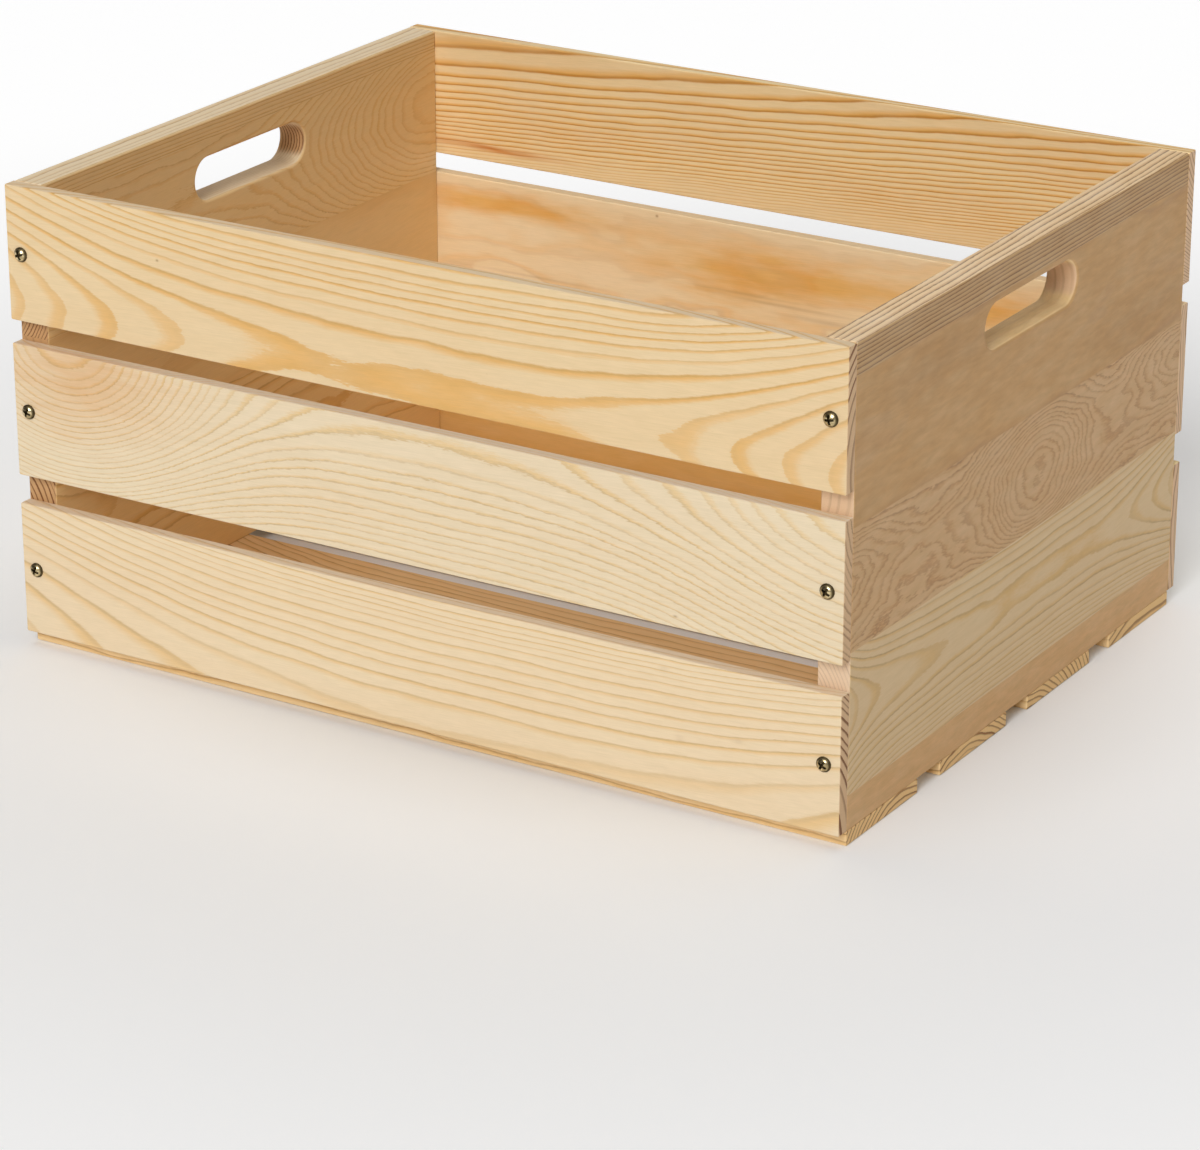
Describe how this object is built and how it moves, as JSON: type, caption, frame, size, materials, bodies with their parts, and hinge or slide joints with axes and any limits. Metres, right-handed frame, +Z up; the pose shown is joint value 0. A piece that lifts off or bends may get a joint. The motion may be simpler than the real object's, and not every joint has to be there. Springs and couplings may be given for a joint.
{
  "type": "wooden apple crate",
  "caption": "Open-topped slatted pine crate: thick glued end panels with routed hand-holds, screwed side slats and gapped bottom slats.",
  "frame": {"origin": "middle of the underside, on the surface that the crate stands on", "axes": "+X along the long sides towards the right end panel, -Y out of the front long side, +Z up"},
  "size_m": [0.5, 0.3892, 0.259],
  "materials": {
    "pine_side_slats": "bare planed and sanded pine",
    "pine_end_panels": "bare sanded edge-glued pine",
    "pine_bottom_slats": "bare planed and sanded pine",
    "brassed_screws": "yellow-passivated steel, slightly tarnished"
  },
  "bodies": {
    "root": {"left_end_foot_strip": "pine_end_panels", "left_end_lower_board": "pine_end_panels", "left_end_middle_board": "pine_end_panels", "left_end_grip_board": "pine_end_panels", "left_end_rim_strip": "pine_end_panels", "right_end_foot_strip": "pine_end_panels", "right_end_lower_board": "pine_end_panels", "right_end_middle_board": "pine_end_panels", "right_end_grip_board": "pine_end_panels", "right_end_rim_strip": "pine_end_panels", "front_lower_slat": "pine_side_slats", "front_lower_slat_screws": "brassed_screws", "front_middle_slat": "pine_side_slats", "front_middle_slat_screws": "brassed_screws", "front_upper_slat": "pine_side_slats", "front_upper_slat_screws": "brassed_screws", "rear_lower_slat": "pine_side_slats", "rear_lower_slat_screws": "brassed_screws", "rear_middle_slat": "pine_side_slats", "rear_middle_slat_screws": "brassed_screws", "rear_upper_slat": "pine_side_slats", "rear_upper_slat_screws": "brassed_screws", "bottom_slat_front": "pine_bottom_slats", "bottom_slat_front_screws": "brassed_screws", "bottom_slat_front_inner": "pine_bottom_slats", "bottom_slat_front_inner_screws": "brassed_screws", "bottom_slat_rear_inner": "pine_bottom_slats", "bottom_slat_rear_inner_screws": "brassed_screws", "bottom_slat_rear": "pine_bottom_slats", "bottom_slat_rear_screws": "brassed_screws"}
  },
  "joints": []
}
